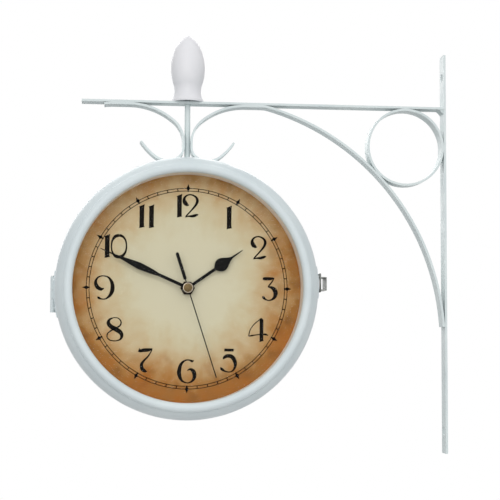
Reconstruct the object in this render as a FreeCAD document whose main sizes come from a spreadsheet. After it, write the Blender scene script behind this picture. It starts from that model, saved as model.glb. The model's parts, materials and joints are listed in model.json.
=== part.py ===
import FreeCAD, Part
import math
import operator
import os
import Sketcher
from FreeCAD import Placement, Rotation, Vector
from types import SimpleNamespace

# Double-sided wall clock: a painted drum case with a dial on each face, hung from a flat-iron scroll
# bracket. The origin is on the wall, midway between the two wall screws. +X runs into the wall, the
# front dial looks along -Y and +Z is up. Lengths are in millimetres and angles in degrees.

SIZES = {
    # Room between the case and the wall, and between the case and the top bar
    "wall_gap": 120.0,
    "hang_gap": 50.9,
    # Flat iron of the bracket
    "strip_width": 14.0,
    "strip_thickness": 2.0,
    # Wall bar, its head above the top bar's underside, and a countersunk screw hole near each end
    "wall_bar_length": 360.0,
    "wall_bar_head": 50.1,
    "screw_margin": 20.0,
    "screw_hole_radius": 2.6,
    "screw_sink": 1.4,
    # Top bar: its free end past the clock's axis
    "bar_overhang": 93.7,
    # Lower curls, resting on the case: from the rod, along the case, and up to the tip
    "curl_in_radius": 11.0,
    "curl_in_turn": 60.0,
    "curl_floor_radius": 18.0,
    "curl_floor_turn": 68.0,
    "curl_tip_radius": 60.0,
    "curl_tip_turn": 17.0,
    # Upper curls: straight beside the rod, up to the top bar, and their runs along it
    "stem_run": 4.8,
    "neck_radius": 25.0,
    "neck_turn": 50.0,
    "right_run": 15.0,
    "left_run": 14.0,
    "droop_radius": 60.0,
    "droop_turn": 8.0,
    # Brace: the bend where it leaves the top bar, and its end on the wall bar below the top bar
    "brace_bend_radius": 25.0,
    "brace_drop": 196.9,
    "brace_end_lean": 3.5,
    # Weld bead in the corner of the two bars
    "weld_leg": 4.0,
    "weld_length": 12.0,
    # Hanger rod with its nuts and washer
    "rod_radius": 2.5,
    "rod_fit": 0.1,
    "rod_tail": 2.0,
    "rod_top": 14.0,
    "hanger_nut_across": 8.0,
    "hanger_nut_height": 3.0,
    "hanger_washer_radius": 6.5,
    "hanger_washer_thickness": 1.0,
    # Finial
    "finial_height": 60.5,
    "finial_base_radius": 14.2,
    "finial_rim": 1.6,
    "finial_waist_bend": 18.0,
    "finial_neck_radius": 13.2,
    "finial_neck_height": 17.0,
    "finial_belly_bend": 44.0,
    "finial_brow_radius": 13.5,
    "finial_brow_height": 42.5,
    "finial_dome_bend": 27.0,
    "finial_tip_radius": 1.4,
    "finial_tip_drop": 0.6,
    "finial_recess_radius": 12.8,
    "finial_recess_top": 10.5,
    "finial_recess_depth": 5.0,
    "finial_bore_spare": 2.0,
    # Case shells: depths are from the plane midway between the two dials
    "case_radius": 114.0,
    "shell_wall": 0.8,
    "seam_depth": 10.0,
    "seam_gap": 0.2,
    "shoulder_run": 17.5,
    "shoulder_inset": 7.1,
    "rim_width": 14.7,
    "lip_gap": 0.3,
    "lip_depth": 3.0,
    "lip_grip": 3.0,
    # Bezel rings, each from inside the flange's hole to just short of the shoulder
    "bezel_overhang": 0.8,
    "bezel_ledge": 0.6,
    "bezel_height": 5.5,
    "bezel_crown_share": 0.38,
    # Glasses, spacers, dials and retaining rings
    "glass_margin": 1.6,
    "glass_thickness": 2.0,
    "spacer_margin": 0.9,
    "spacer_step": 0.3,
    "spacer_taper": 0.4,
    "dial_recess": 17.4,
    "dial_margin": 2.2,
    "dial_thickness": 1.0,
    "retainer_width": 9.2,
    "retainer_height": 3.0,
    # Hinge
    "hinge_lowering": 6.0,
    "hinge_length": 31.0,
    "hinge_middle": 7.5,
    "barrel_radius": 2.0,
    "barrel_gap": 0.3,
    "knuckle_gap": 0.3,
    "hinge_pin_radius": 0.9,
    "hinge_pin_fit": 0.1,
    "hinge_pin_head": 0.8,
    "hinge_pin_head_radius": 1.35,
    "leaf_thickness": 1.0,
    "leaf_width": 13.0,
    "leaf_length": 40.0,
    "hinge_rivet_spread": 24.0,
    "hinge_rivet_depth": 8.5,
    # Rivets
    "rivet_radius": 1.2,
    "rivet_head_radius": 2.1,
    "rivet_head_height": 0.9,
    # Clasp
    "clasp_height": 6.0,
    "clasp_plate_length": 28.0,
    "clasp_plate_inset": 1.0,
    "clasp_plate_width": 21.0,
    "clasp_rivet_spread": 22.0,
    "clasp_rivet_depth": 15.0,
    "clasp_gap": 0.3,
    "clasp_pivot_depth": 6.0,
    "clasp_over_centre": 0.2,
    "clasp_pin_radius": 1.0,
    "clasp_pin_fit": 0.15,
    "clasp_pin_head": 0.5,
    "clasp_pin_head_radius": 1.7,
    "ear_spread": 8.8,
    "ear_thickness": 0.8,
    "ear_radius": 1.7,
    "lever_width": 12.0,
    "lever_sheet": 0.8,
    "lever_boss_radius": 1.8,
    "lever_height": 8.5,
    "lever_length": 22.0,
    "lever_front": 2.5,
    "lever_heel": 10.0,
    "lever_tip_height": 3.5,
    "bail_arm": 7.0,
    "bail_wire_radius": 0.8,
    "bail_spread": 15.2,
    "bail_fit": 0.1,
    "bail_stub": 0.4,
    "keeper_width": 12.0,
    "keeper_inset": 1.5,
    "ridge_depth": 4.2,
    "ridge_radius": 1.2,
    "ridge_length": 14.0,
    "keeper_rivet_depth": 8.5,
    # Movement housing, cover and battery bay; the setting knobs stop short of the middle plane
    "movement_gap": 0.5,
    "housing_side": 56.0,
    "housing_height": 14.8,
    "housing_wall": 1.2,
    "housing_corner": 3.0,
    "cover_thickness": 1.2,
    "bay_wall": 0.8,
    "bay_clearance": 0.65,
    "cell_radius": 7.1,
    "cell_length": 48.5,
    "cell_button_radius": 2.7,
    "cell_button_height": 1.0,
    "contact_thickness": 0.5,
    "contact_width": 10.0,
    "contact_height": 11.0,
    # Centre bush, its rubber washer and nut
    "bush_radius": 4.0,
    "bush_bore_radius": 3.0,
    "bush_rise": 3.0,
    "bush_flange_radius": 6.0,
    "bush_flange_height": 0.9,
    "dial_hole_fit": 0.2,
    "rubber_radius": 11.0,
    "rubber_thickness": 0.8,
    "bush_nut_across": 11.0,
    "bush_nut_height": 2.2,
    # Nested arbors: each tube runs in the next one with the same clearance
    "arbor_gap": 0.3,
    "pipe_wall": 0.8,
    "minute_wall": 0.7,
    "seconds_radius": 0.6,
    # Motion work between the arbors: minute pinion to setting wheel, setting pinion to hour wheel
    "setting_distance": 12.0,
    "minute_pinion_teeth": 12.0,
    "setting_wheel_teeth": 36.0,
    "setting_pinion_teeth": 10.0,
    "hour_wheel_teeth": 40.0,
    "tooth_tip_share": 0.7,
    "tooth_root_share": 1.0,
    "tooth_foot_share": 0.95,
    "tooth_head_share": 0.4,
    "wheel_thickness": 1.4,
    "wheel_gap": 1.1,
    "pinion_height": 2.0,
    "boss_radius": 2.6,
    "boss_height": 4.3,
    "setting_spindle_radius": 1.5,
    "setting_spindle_fit": 0.3,
    "setting_knob_radius": 5.5,
    "setting_knob_height": 2.7,
    "setting_knob_dish": 1.0,
    # Hands: each stops short of the dial's rim by its margin, and its shares are along its length
    "hand_sheet": 0.5,
    "hub_height": 1.4,
    "hub_gap": 0.6,
    "hour_margin": 41.3,
    "hour_hub_radius": 4.6,
    "hour_shaft_width": 2.6,
    "hour_spade_start_share": 0.5,
    "hour_spade_width": 11.6,
    "hour_needle_start_share": 0.81,
    "hour_needle_width": 1.8,
    "minute_margin": 16.8,
    "minute_hub_radius": 3.8,
    "minute_shaft_width": 2.7,
    "minute_swell_start_share": 0.34,
    "minute_swell_centre_share": 0.565,
    "minute_swell_width": 6.0,
    "minute_needle_start_share": 0.825,
    "minute_needle_width": 1.4,
    "needle_tip_width": 0.6,
    "seconds_margin": 18.0,
    "seconds_width": 0.9,
    "tail_start": 7.3,
    "tail_end": 32.0,
    "tail_width": 2.8,
    "cap_radius": 5.0,
    "cap_side": 1.2,
    "cap_dome": 0.9,
    # Hands as they stand, clockwise from twelve: about eleven minutes to two
    "hour_angle": 55.0,
    "minute_angle": 293.9,
    "seconds_angle": 162.1,
    # Overrun of every cut past the faces that it opens
    "overrun": 1.0,
}

OPERATIONS = {"+": operator.add, "-": operator.sub, "*": operator.mul, "/": operator.truediv}
LEFT = 1
RIGHT = -1

doc = FreeCAD.newDocument("double_sided_wall_clock")
sheet = doc.addObject("Spreadsheet::Sheet", "sizes")
nodes = {}


# Sizes that know both their value and the expression that keeps it up to date

class Size:
    def __init__(self, value, text):
        self.value = value
        self.text = text

    def __add__(self, other):
        return joined(self, "+", other)

    def __radd__(self, other):
        return joined(other, "+", self)

    def __sub__(self, other):
        return joined(self, "-", other)

    def __rsub__(self, other):
        return joined(other, "-", self)

    def __mul__(self, other):
        return joined(self, "*", other)

    def __rmul__(self, other):
        return joined(other, "*", self)

    def __truediv__(self, other):
        return joined(self, "/", other)

    def __rtruediv__(self, other):
        return joined(other, "/", self)

    def __neg__(self):
        return joined(0, "-", self)


def as_size(item):
    if isinstance(item, Size):
        return item
    return Size(float(item), f"({float(item)!r})")


def joined(first, sign, second):
    first = as_size(first)
    second = as_size(second)
    value = OPERATIONS[sign](first.value, second.value)
    return Size(value, f"({first.text} {sign} {second.text})")


def sine(angle):
    angle = as_size(angle)
    return Size(math.sin(math.radians(angle.value)), f"sin({angle.text})")


def cosine(angle):
    angle = as_size(angle)
    return Size(math.cos(math.radians(angle.value)), f"cos({angle.text})")


def root(square):
    return Size(math.sqrt(square.value), f"sqrt({square.text})")


def slope_angle(rise, run):
    angle = math.degrees(math.atan2(rise.value, run.value))
    return Size(angle, f"(atan2({rise.text}; {run.text}) / 1 deg)")


def arc_angle(length, radius):
    """The angle that an arc of this length takes up at this radius."""
    return length / radius * (180 / math.pi)


def read_sheet():
    named = {}
    for row, (name, value) in enumerate(SIZES.items(), start=1):
        sheet.set(f"A{row}", name)
        sheet.set(f"B{row}", str(value))
        sheet.setAlias(f"B{row}", name)
        named[name] = Size(value, f"sizes.{name}")
    doc.recompute()
    return SimpleNamespace(**named)


sz = read_sheet()


# Bodies, sketches and features

def bind(item, name, size):
    item.setExpression(name, as_size(size).text)


def new_body(name):
    return doc.addObject("PartDesign::Body", name)


def new_sketch(body, plane, height=0):
    sketch = body.newObject("Sketcher::SketchObject", f"{body.Name}_sketch")
    support = next(item for item in body.Origin.OriginFeatures if item.Role == plane)
    sketch.AttachmentSupport = [(support, "")]
    sketch.MapMode = "FlatFace"
    bind(sketch, "AttachmentOffset.Base.z", height)
    return sketch


def bent_edge(start, end, radius, side):
    """An arc between two points, bending to one side, and which of its ends comes first."""
    span = end - start
    leftward = Vector(-span.y, span.x, 0).normalize()
    sag = math.sqrt(max(radius ** 2 - (span.Length / 2) ** 2, 0))
    centre = (start + end) / 2 + leftward * side * sag
    first, last = (start, end) if side == LEFT else (end, start)
    from_angle = math.atan2(first.y - centre.y, first.x - centre.x)
    to_angle = math.atan2(last.y - centre.y, last.x - centre.x)
    arc = Part.ArcOfCircle(Part.Circle(centre, Vector(0, 0, 1), radius), from_angle, to_angle)
    return arc, (1, 2) if side == LEFT else (2, 1)


def hold(sketch, rules):
    """Add constraints and bind each one that has a size."""
    places = sketch.addConstraint([rule for rule, size in rules])
    for place, (rule, size) in zip(places, rules):
        if size is not None:
            bind(sketch, f"Constraints[{place}]", size)


def draw_outline(sketch, corners):
    """A closed outline. A corner is (across, up), or (across, up, radius, side) if the next edge bends."""
    points = [(as_size(corner[0]), as_size(corner[1])) for corner in corners]
    first = sketch.GeometryCount
    edges = []
    ends = []
    rules = []
    for index, corner in enumerate(corners):
        start = Vector(points[index][0].value, points[index][1].value, 0)
        after = points[(index + 1) % len(points)]
        end = Vector(after[0].value, after[1].value, 0)
        if len(corner) == 2:
            edges.append(Part.LineSegment(start, end))
            ends.append((1, 2))
        else:
            arc, order = bent_edge(start, end, corner[2].value, corner[3])
            edges.append(arc)
            ends.append(order)
            radius = corner[2]
            rules.append((Sketcher.Constraint("Radius", first + index, radius.value), radius))
    sketch.addGeometry(edges, False)
    for index, (across, up) in enumerate(points):
        edge = first + index
        after = (index + 1) % len(points)
        meet = Sketcher.Constraint("Coincident", edge, ends[index][1], first + after, ends[after][0])
        rules.append((meet, None))
        rules.append((Sketcher.Constraint("DistanceX", -1, 1, edge, ends[index][0], across.value), across))
        rules.append((Sketcher.Constraint("DistanceY", -1, 1, edge, ends[index][0], up.value), up))
    hold(sketch, rules)


def draw_circle(sketch, across, up, radius):
    across = as_size(across)
    up = as_size(up)
    place = Vector(across.value, up.value, 0)
    edge = sketch.addGeometry(Part.Circle(place, Vector(0, 0, 1), radius.value), False)
    hold(sketch, [
        (Sketcher.Constraint("Radius", edge, radius.value), radius),
        (Sketcher.Constraint("DistanceX", -1, 1, edge, 3, across.value), across),
        (Sketcher.Constraint("DistanceY", -1, 1, edge, 3, up.value), up),
    ])


def pad(body, sketch, length, symmetric=False):
    feature = body.newObject("PartDesign::Pad", f"{body.Name}_pad")
    feature.Profile = sketch
    bind(feature, "Length", length)
    if symmetric:
        feature.SideType = "Symmetric"
    return feature


def pocket(body, sketch, length, upward=False):
    """Cut below the sketch, or above it."""
    feature = body.newObject("PartDesign::Pocket", f"{body.Name}_pocket")
    feature.Profile = sketch
    bind(feature, "Length", length)
    feature.Reversed = upward
    return feature


def rectangle(left, right, low, high):
    return [(left, low), (right, low), (right, high), (left, high)]


def padded(name, plane, corners, length, height=0, holes=(), symmetric=False):
    """A plate of one outline, with round holes."""
    body = new_body(name)
    sketch = new_sketch(body, plane, height)
    draw_outline(sketch, corners)
    for hole in holes:
        draw_circle(sketch, *hole)
    pad(body, sketch, length, symmetric)
    return body


def ringed(name, outer, inner, length, height=0):
    """A flat ring about the body's own Z axis."""
    body = new_body(name)
    add_ring(body, outer, inner, length, height)
    return body


def add_ring(body, outer, inner, length, height):
    sketch = new_sketch(body, "XY_Plane", height)
    draw_circle(sketch, 0, 0, outer)
    if inner is not None:
        draw_circle(sketch, 0, 0, inner)
    return pad(body, sketch, length)


def turned(name, corners, angle=360):
    """A profile, given as radius and height, turned about the body's own Z axis."""
    body = new_body(name)
    sketch = new_sketch(body, "XZ_Plane")
    draw_outline(sketch, corners)
    feature = body.newObject("PartDesign::Revolution", f"{name}_turn")
    feature.Profile = sketch
    feature.ReferenceAxis = (sketch, ["V_Axis"])
    bind(feature, "Angle", angle)
    feature.Midplane = True
    return body


def hexagon(across):
    corner = across / 2 / cosine(30)
    return [(corner * cosine(60 * turn), corner * sine(60 * turn)) for turn in range(6)]


# Solids from primitives and their combinations

def block(name, corner, sides):
    item = doc.addObject("Part::Box", name)
    for prop, size in zip(("Length", "Width", "Height"), sides):
        bind(item, prop, size)
    for prop, size in zip("xyz", corner):
        bind(item, f"Placement.Base.{prop}", size)
    return item


def cylinder(name, radius, length, start, rotation=Rotation()):
    item = doc.addObject("Part::Cylinder", name)
    bind(item, "Radius", radius)
    bind(item, "Height", length)
    item.Placement = Placement(Vector(), rotation)
    for prop, size in zip("xyz", start):
        bind(item, f"Placement.Base.{prop}", size)
    return item


def ball(name, radius, centre):
    item = doc.addObject("Part::Sphere", name)
    bind(item, "Radius", radius)
    for prop, size in zip("xyz", centre):
        bind(item, f"Placement.Base.{prop}", size)
    return item


def fuse(name, items):
    item = doc.addObject("Part::MultiFuse", name)
    item.Shapes = items
    item.Refine = True
    return item


def group(name, items):
    item = doc.addObject("Part::Compound", name)
    item.Links = items
    return item


def cut(name, base, tool):
    item = doc.addObject("Part::Cut", name)
    item.Base = base
    item.Tool = tool
    return item


def keep(name, item):
    item.Label = name
    nodes[name] = item
    return item


# Places: pieces drawn about the clock's axis in the room's directions, and pieces drawn on a face of the
# clock with Z out of the dial, X to the right and Y up for someone who reads it

bar_rise = sz.case_radius + sz.hang_gap
clock_reach = sz.case_radius + sz.wall_gap
clock_drop = bar_rise + sz.wall_bar_head - sz.wall_bar_length / 2
AXIS_X = -clock_reach
AXIS_Z = -clock_drop
FRONT = Rotation(Vector(1, 0, 0), 90)
REAR = Rotation(Vector(0, 0, 1), 180) * FRONT
FACES = {"front": FRONT, "rear": REAR}


def hang(item, rotation=Rotation(), rise=0):
    item.Placement = Placement(Vector(), rotation)
    bind(item, "Placement.Base.x", AXIS_X)
    bind(item, "Placement.Base.z", AXIS_Z + rise)
    return item


def turned_face(side, clockwise):
    return FACES[side] * Rotation(Vector(0, 0, 1), -clockwise)


# Strips of flat iron that bend within the plane of the bracket

class Trail:
    def __init__(self, across, up, heading):
        self.steps = [(as_size(across), as_size(up), as_size(heading))]
        self.bends = []

    def line(self, length):
        across, up, heading = self.steps[-1]
        self.steps.append((across + length * cosine(heading), up + length * sine(heading), heading))
        self.bends.append(None)

    def arc(self, radius, turn, side):
        across, up, heading = self.steps[-1]
        after = heading + turn * side
        across = across + radius * side * (sine(after) - sine(heading))
        up = up + radius * side * (cosine(heading) - cosine(after))
        self.steps.append((across, up, after))
        self.bends.append((radius, side))

    def continued(self, other):
        """This trail walked backwards, and then the other one."""
        joint = Trail(0, 0, 0)
        back = [(across, up, heading + 180) for across, up, heading in reversed(self.steps)]
        joint.steps = back[:-1] + other.steps
        joint.bends = [bend and (bend[0], -bend[1]) for bend in reversed(self.bends)] + other.bends
        return joint

    def outline(self, thickness):
        half = thickness / 2
        right = [(x + half * sine(turn), z - half * cosine(turn)) for x, z, turn in self.steps]
        left = [(x - half * sine(turn), z + half * cosine(turn)) for x, z, turn in self.steps]
        corners = []
        for point, bend in zip(right, self.bends):
            corners.append(point + (bend[0] + half * bend[1], bend[1]) if bend else point)
        corners.append(right[-1])
        for point, bend in zip(reversed(left[1:]), reversed(self.bends)):
            corners.append(point + (bend[0] - half * bend[1], -bend[1]) if bend else point)
        corners.append(left[0])
        return corners


def scroll_curl(side):
    """The lower curl, from beside the rod down on to the case and up to its tip."""
    out = 1 if side == RIGHT else -1
    curl = Trail(rod_side * out, curl_top, -90)
    curl.arc(sz.curl_in_radius, sz.curl_in_turn, out)
    curl.arc(sz.curl_floor_radius, sz.curl_floor_turn, out)
    curl.arc(sz.curl_tip_radius, sz.curl_tip_turn, out)
    return curl


def scroll_neck(side):
    """The upper curl, from beside the rod up to the top bar."""
    neck = Trail(rod_side * -side, curl_top, 90)
    neck.line(sz.stem_run)
    neck.arc(sz.neck_radius, sz.neck_turn, side)
    neck.arc(neck_reach, 90 - sz.neck_turn, side)
    return neck


def strip(name, trail):
    corners = trail.outline(sz.strip_thickness)
    return hang(padded(name, "XZ_Plane", corners, sz.strip_width, symmetric=True))


half_strip = sz.strip_thickness / 2
wall_face = clock_reach - sz.strip_thickness
bar_top = bar_rise + sz.strip_thickness

# The curls stand on the case, so their height follows from the circles that touch
rod_side = sz.rod_radius + half_strip
floor_across = (
    rod_side
    + sz.curl_in_radius * (1 - cosine(sz.curl_in_turn))
    + sz.curl_floor_radius * cosine(sz.curl_in_turn)
)
floor_reach = sz.case_radius + sz.curl_floor_radius + half_strip
floor_up = root(floor_reach * floor_reach - floor_across * floor_across)
curl_top = floor_up - (sz.curl_floor_radius - sz.curl_in_radius) * sine(sz.curl_in_turn)

# The upper part of the neck takes up what is left of the height below the top bar
neck_rise = bar_rise - half_strip - curl_top - sz.stem_run
neck_reach = (neck_rise - sz.neck_radius * sine(sz.neck_turn)) / (1 - sine(sz.neck_turn))
neck_across = rod_side + sz.neck_radius * (1 - cosine(sz.neck_turn)) + neck_reach * cosine(sz.neck_turn)

# The brace leaves the top bar, bends down and ends against the wall bar at its lean
brace_start = neck_across + sz.right_run
brace_run = wall_face - half_strip - brace_start - sz.brace_bend_radius * cosine(sz.brace_end_lean)
brace_fall = sz.brace_drop - half_strip - sz.brace_bend_radius * (1 - sine(sz.brace_end_lean))
brace_turn = 90 - sz.brace_end_lean
brace_bend = slope_angle(brace_fall, brace_run) * 2 - brace_turn
brace_extra = brace_run / (cosine(sz.brace_end_lean) - sine(brace_bend))
brace_radius = brace_extra + sz.brace_bend_radius
brace_centre_x = brace_start - brace_extra * sine(brace_bend)
brace_centre_z = bar_rise - half_strip - sz.brace_bend_radius - brace_extra * cosine(brace_bend)

# The hoop fills the corner: it touches the top bar, the wall bar and the brace
brace_outside = brace_radius + half_strip
corner_x = wall_face - brace_centre_x
corner_z = bar_rise - brace_centre_z
corner_sum = corner_x + corner_z + brace_outside
corner_rest = corner_x * corner_x + corner_z * corner_z - brace_outside * brace_outside
hoop_radius = corner_sum - root(corner_sum * corner_sum - corner_rest)

# Wall bar
half_width = sz.strip_width / 2
half_bar = sz.wall_bar_length / 2
half_spacing = half_bar - sz.screw_margin
wall_bar = hang(padded(
    "wall_bar",
    "YZ_Plane",
    rectangle(-half_width, half_width, clock_drop - half_bar, clock_drop + half_bar),
    sz.strip_thickness,
    wall_face,
    [(0, clock_drop + half_spacing * way, sz.screw_hole_radius) for way in (-1, 1)],
))
doc.recompute()
sink = wall_bar.newObject("PartDesign::Chamfer", "wall_bar_sink")
sink.Base = (wall_bar.Group[1], [
    f"Edge{number}"
    for number, edge in enumerate(wall_bar.Group[1].Shape.Edges, start=1)
    if isinstance(edge.Curve, Part.Circle) and edge.CenterOfMass.x < (wall_face + half_strip).value
])
bind(sink, "Size", sz.screw_sink)
keep("wall_bar", wall_bar)

# Top bar, with the rod's hole
keep("top_bar", hang(padded(
    "top_bar",
    "XY_Plane",
    rectangle(-sz.bar_overhang, wall_face, -half_width, half_width),
    sz.strip_thickness,
    bar_rise,
    [(0, 0, sz.rod_radius + sz.rod_fit)],
)))

# Scrolls: the right one runs on into the brace, the left one ends with a droop under the top bar
right_trail = scroll_neck(RIGHT)
right_trail.line(sz.right_run)
right_trail.arc(sz.brace_bend_radius, brace_bend, RIGHT)
right_trail.arc(brace_radius, brace_turn - brace_bend, RIGHT)
keep("scroll_right", strip("scroll_right", scroll_curl(RIGHT).continued(right_trail)))
left_trail = scroll_neck(LEFT)
left_trail.line(sz.left_run)
left_trail.arc(sz.droop_radius, sz.droop_turn, LEFT)
keep("scroll_left", strip("scroll_left", scroll_curl(LEFT).continued(left_trail)))

# Hoop
hoop = new_body("bracket_hoop")
hoop_sketch = new_sketch(hoop, "XZ_Plane")
for radius in (hoop_radius, hoop_radius - sz.strip_thickness):
    draw_circle(hoop_sketch, wall_face - hoop_radius, bar_rise - hoop_radius, radius)
pad(hoop, hoop_sketch, sz.strip_width, symmetric=True)
keep("bracket_hoop", hang(hoop))

# Weld bead
bead = [
    (wall_face, bar_rise - sz.weld_leg),
    (wall_face, bar_rise),
    (wall_face - sz.weld_leg, bar_rise),
]
keep("corner_weld", hang(padded("corner_weld", "XZ_Plane", bead, sz.weld_length, symmetric=True)))

# Hanger rod, with a nut on the case and a washer and a nut inside it
inner_radius = sz.case_radius - sz.shell_wall
washer_radius = sz.hanger_washer_radius
washer_top = root(inner_radius * inner_radius - washer_radius * washer_radius)
washer_low = washer_top - sz.hanger_washer_thickness
inner_nut_low = washer_low - sz.hanger_nut_height
rod_low = inner_nut_low - sz.rod_tail
rod_high = bar_top + sz.rod_top
rod_hole = sz.rod_radius + sz.rod_fit
keep("hanger_rod", cylinder("hanger_rod", sz.rod_radius, rod_high - rod_low, (AXIS_X, 0, AXIS_Z + rod_low)))
washer = ringed("hanger_washer", washer_radius, rod_hole, sz.hanger_washer_thickness)
keep("hanger_washer", hang(washer, rise=washer_low))
hanger_nuts = []
for name, low in (("outer_hanger_nut", sz.case_radius), ("inner_hanger_nut", inner_nut_low)):
    nut = padded(
        name,
        "XY_Plane",
        hexagon(sz.hanger_nut_across),
        sz.hanger_nut_height,
        holes=[(0, 0, rod_hole)],
    )
    hanger_nuts.append(hang(nut, rise=low))
keep("hanger_nuts", group("hanger_nuts", hanger_nuts))

# Finial, bored for the rod and hollowed to a cone underneath
finial = turned("finial", [
    (sz.finial_base_radius, 0),
    (sz.finial_base_radius, sz.finial_rim, sz.finial_waist_bend, RIGHT),
    (sz.finial_neck_radius, sz.finial_neck_height, sz.finial_belly_bend, LEFT),
    (sz.finial_brow_radius, sz.finial_brow_height, sz.finial_dome_bend, LEFT),
    (sz.finial_tip_radius, sz.finial_height - sz.finial_tip_drop),
    (0, sz.finial_height),
    (0, sz.rod_top + sz.finial_bore_spare),
    (rod_hole, sz.rod_top + sz.finial_bore_spare),
    (rod_hole, sz.finial_recess_depth),
    (sz.finial_recess_top, sz.finial_recess_depth),
    (sz.finial_recess_radius, 0),
])
keep("finial", hang(finial, rise=bar_top))

# Depths of what each face carries, from the plane midway between the dials outwards
cover_back = sz.movement_gap + sz.setting_knob_height + sz.setting_spindle_fit
housing_back = cover_back + sz.cover_thickness
housing_front = housing_back + sz.housing_height
housing_floor = housing_front - sz.housing_wall
dial_back = housing_front + sz.rubber_thickness
dial_front = dial_back + sz.dial_thickness
glass_back = dial_front + sz.dial_recess
glass_front = glass_back + sz.glass_thickness
flange_front = glass_front + sz.shell_wall
bush_top = dial_front + sz.bush_rise
hour_hub_low = bush_top + sz.hub_gap
pipe_top = hour_hub_low + sz.hub_height
minute_hub_low = pipe_top + sz.hub_gap
minute_top = minute_hub_low + sz.hub_height
cap_low = minute_top + sz.hub_gap

# The shoulder is an arc that leaves the wall of the case smoothly and ends at the crest, beside the bezel
crest_radius = sz.case_radius - sz.shoulder_inset
flange_radius = sz.case_radius - sz.rim_width
shoulder_bend = sz.shoulder_run * sz.shoulder_run / sz.shoulder_inset / 2 + sz.shoulder_inset / 2
dial_opening = flange_radius + sz.spacer_step - sz.spacer_taper

# Nested arbors
pipe_radius = sz.bush_bore_radius - sz.arbor_gap
pipe_bore = pipe_radius - sz.pipe_wall
minute_radius = pipe_bore - sz.arbor_gap
minute_bore = minute_radius - sz.minute_wall
boss_top = housing_back + sz.boss_height
minute_low = boss_top + sz.arbor_gap
pinion_low = minute_low + sz.wheel_gap
setting_wheel_low = pinion_low + (sz.pinion_height - sz.wheel_thickness) / 2
pipe_low = pinion_low + sz.pinion_height + sz.arbor_gap
hour_wheel_low = pipe_low + sz.wheel_gap
setting_pinion_low = hour_wheel_low + (sz.wheel_thickness - sz.pinion_height) / 2
setting_top = housing_floor - sz.setting_spindle_fit
minute_module = sz.setting_distance * 2 / (sz.minute_pinion_teeth + sz.setting_wheel_teeth)
hour_module = sz.setting_distance * 2 / (sz.setting_pinion_teeth + sz.hour_wheel_teeth)

# Rivets stand radially on the case: by the angle round the clock's axis and the depth in the room
hinge_angle = 180 + slope_angle(sz.hinge_lowering, sz.case_radius)
clasp_angle = slope_angle(sz.clasp_height, sz.case_radius)
plate_radius = sz.case_radius + sz.leaf_thickness
seam_y = -sz.seam_depth
hinge_spread = arc_angle(sz.hinge_rivet_spread / 2, sz.case_radius)
clasp_spread = arc_angle(sz.clasp_rivet_spread / 2, sz.case_radius)
RIVETS = {}
for owner, way, clasp_depth in (("case", 1, sz.clasp_rivet_depth), ("door", -1, sz.keeper_rivet_depth)):
    RIVETS[owner] = [
        (hinge_angle + hinge_spread * turn, seam_y + sz.hinge_rivet_depth * way) for turn in (-1, 1)
    ] + [
        (clasp_angle + clasp_spread * turn, seam_y + clasp_depth * way) for turn in (-1, 1)
    ]


def radial(item, angle, depth, radius):
    """Stand a piece on the case with its Z axis outward."""
    outward = Vector(math.cos(math.radians(angle.value)), 0, math.sin(math.radians(angle.value)))
    item.Placement = Placement(Vector(), Rotation(Vector(0, 0, 1), outward))
    bind(item, "Placement.Base.x", AXIS_X + radius * cosine(angle))
    bind(item, "Placement.Base.y", depth)
    bind(item, "Placement.Base.z", AXIS_Z + radius * sine(angle))
    return item


def rivets(owner):
    grip = sz.leaf_thickness + sz.shell_wall
    head = sz.rivet_head_height
    dome = (sz.rivet_head_radius * sz.rivet_head_radius + head * head) / (head * 2)
    made = []
    for angle, depth in RIVETS[owner]:
        rivet = turned(f"{owner}_rivet", [
            (0, -grip),
            (sz.rivet_radius, -grip),
            (sz.rivet_radius, 0),
            (sz.rivet_head_radius, 0, dome, LEFT),
            (0, head),
        ])
        made.append(radial(rivet, angle, depth, plate_radius))
    return keep(f"{owner}_rivets", group(f"{owner}_rivets", made))


def rivet_holes(owner):
    made = []
    for angle, depth in RIVETS[owner]:
        tool = doc.addObject("Part::Cylinder", f"{owner}_rivet_hole")
        bind(tool, "Radius", sz.rivet_radius)
        bind(tool, "Height", sz.leaf_thickness + sz.shell_wall + sz.overrun * 2)
        made.append(radial(tool, angle, depth, inner_radius - sz.overrun))
    return made


def shell_profile(seam, lip):
    """Wall, round shoulder and front flange; the fixed shell also has a lip inside the seam."""
    wall = sz.shell_wall
    shoulder_low = flange_front - sz.shoulder_run
    inner_bend = shoulder_bend - wall
    inner_run = sz.shoulder_run - wall
    crest_inside = sz.case_radius - shoulder_bend + root(inner_bend * inner_bend - inner_run * inner_run)
    corners = [
        (sz.case_radius, seam),
        (sz.case_radius, shoulder_low, shoulder_bend, LEFT),
        (crest_radius, flange_front),
        (flange_radius, flange_front),
        (flange_radius, glass_front),
        (crest_inside, glass_front, inner_bend, RIGHT),
        (inner_radius, shoulder_low),
    ]
    if not lip:
        return corners + [(inner_radius, seam)]
    lip_radius = inner_radius - sz.lip_gap
    return corners + [
        (inner_radius, seam + sz.lip_grip),
        (lip_radius - wall, seam + sz.lip_grip),
        (lip_radius - wall, seam - sz.lip_depth),
        (lip_radius, seam - sz.lip_depth),
        (lip_radius, seam),
    ]


# Gear wheels with straight-sided teeth

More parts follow.
